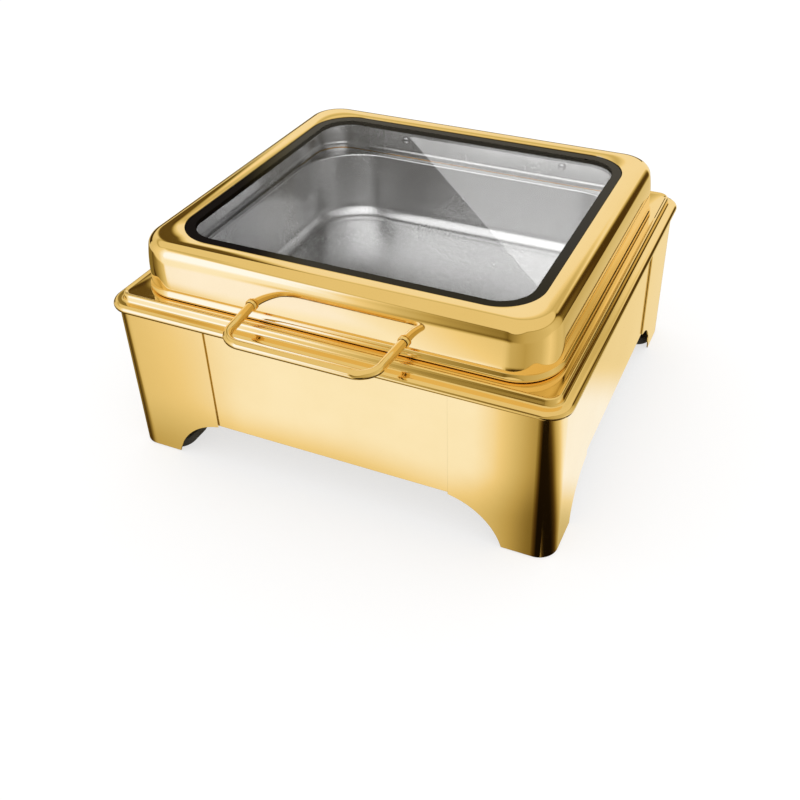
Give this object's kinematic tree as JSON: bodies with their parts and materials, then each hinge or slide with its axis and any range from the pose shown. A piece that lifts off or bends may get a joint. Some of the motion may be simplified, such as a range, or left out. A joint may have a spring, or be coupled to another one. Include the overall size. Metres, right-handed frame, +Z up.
{
  "type": "lift-lid chafing dish",
  "caption": "Square gold-coloured buffet chafer: skirted body on corner legs, stepped deck, nested water and food pans, and a rear-hinged lid with a glass window and a front bar handle.",
  "frame": {"origin": "on the surface that the feet stand on, under the middle of the whole object's outline, handle included", "axes": "+X along the front towards the object's right as seen from the front, +Y to the back, where the lid hinge is, +Z up"},
  "size_m": [0.4298, 0.4399, 0.2156],
  "materials": {
    "gold_steel": "mirror-polished gold-coloured stainless steel",
    "satin_steel": "satin stainless steel",
    "plain_steel": "plain bright stainless steel",
    "window_glass": "clear tempered glass with a black printed border",
    "black_rubber": "matte black rubber",
    "black_plastic": "matte black plastic"
  },
  "bodies": {
    "body": {"deck_frame": "gold_steel", "panel_front": "gold_steel", "panel_rear": "gold_steel", "panel_left": "gold_steel", "panel_right": "gold_steel", "leg_front_left": "gold_steel", "leg_front_right": "gold_steel", "leg_rear_left": "gold_steel", "leg_rear_right": "gold_steel", "foot_pad_front_left": "black_rubber", "foot_pad_front_right": "black_rubber", "foot_pad_rear_left": "black_rubber", "foot_pad_rear_right": "black_rubber", "hinge_base_left": "plain_steel", "hinge_base_right": "plain_steel", "hinge_pin": "plain_steel", "hinge_cap_left": "plain_steel", "hinge_cap_right": "plain_steel", "hinge_damper": "black_plastic"},
    "water_pan": {"water_pan": "satin_steel"},
    "food_pan": {"food_pan": "satin_steel"},
    "lid": {"lid_shell": "gold_steel", "lid_liner": "satin_steel", "glass_seal": "black_rubber", "lid_glass": "window_glass", "handle_bar": "gold_steel", "handle_collar_left": "gold_steel", "handle_collar_right": "gold_steel", "handle_screw_left": "plain_steel", "handle_screw_right": "plain_steel", "hinge_arm_left": "plain_steel", "hinge_arm_right": "plain_steel", "hinge_screw_left": "plain_steel", "hinge_screw_right": "plain_steel", "hinge_nut_left": "plain_steel", "hinge_nut_right": "plain_steel"}
  },
  "joints": [
    {"name": "lid_hinge", "type": "hinge", "parent": "body", "child": "lid", "pos_m": [0, 0.206, 0.18], "axis": [-1, 0, 0], "range_deg": [0, 90]},
    {"name": "water_pan_lift", "type": "slide", "parent": "body", "child": "water_pan", "axis": [0, 0, 1], "range_m": [0, 0.012]},
    {"name": "food_pan_lift", "type": "slide", "parent": "water_pan", "child": "food_pan", "axis": [0, 0, 1], "range_m": [0, 0.02]}
  ]
}
